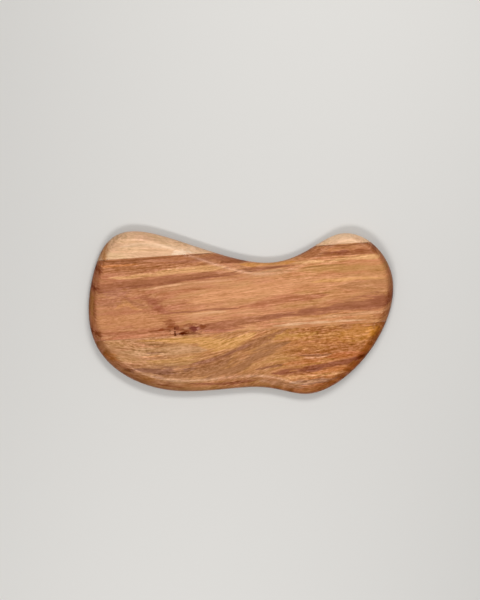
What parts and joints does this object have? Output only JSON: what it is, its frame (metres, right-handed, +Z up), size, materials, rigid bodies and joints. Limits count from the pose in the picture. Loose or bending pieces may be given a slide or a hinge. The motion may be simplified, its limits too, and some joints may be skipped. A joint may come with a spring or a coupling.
{
  "type": "serving board",
  "caption": "Free-form kidney-shaped wooden serving board, edge-glued from straight staves, with a flat face, a broad rounded edge and a hollow on each long side.",
  "frame": {"origin": "centre of the board's box, on the plane of its underside", "axes": "+X along the grain and the glue lines, towards the end with the deeper bulge; +Y across the grain, towards the pale lobes and the deeper hollow; +Z up, out of the serving face"},
  "size_m": [0.383, 0.218, 0.02],
  "materials": {
    "heartwood": "oiled satin, red-brown heartwood with dark streaks and a knot",
    "golden_heartwood": "oiled satin, golden brown heartwood with slanting dark bands",
    "sapwood_left": "oiled satin, pale cream sapwood",
    "sapwood_right": "oiled satin, pale cream sapwood",
    "glue": "cured wood glue, brown hairline"
  },
  "bodies": {
    "root": {"middle_stave": "heartwood", "lower_stave": "golden_heartwood", "upper_left_stave": "sapwood_left", "upper_right_stave": "sapwood_right", "lower_glue_line": "glue", "upper_left_glue_line": "glue", "upper_right_glue_line": "glue"}
  },
  "joints": []
}
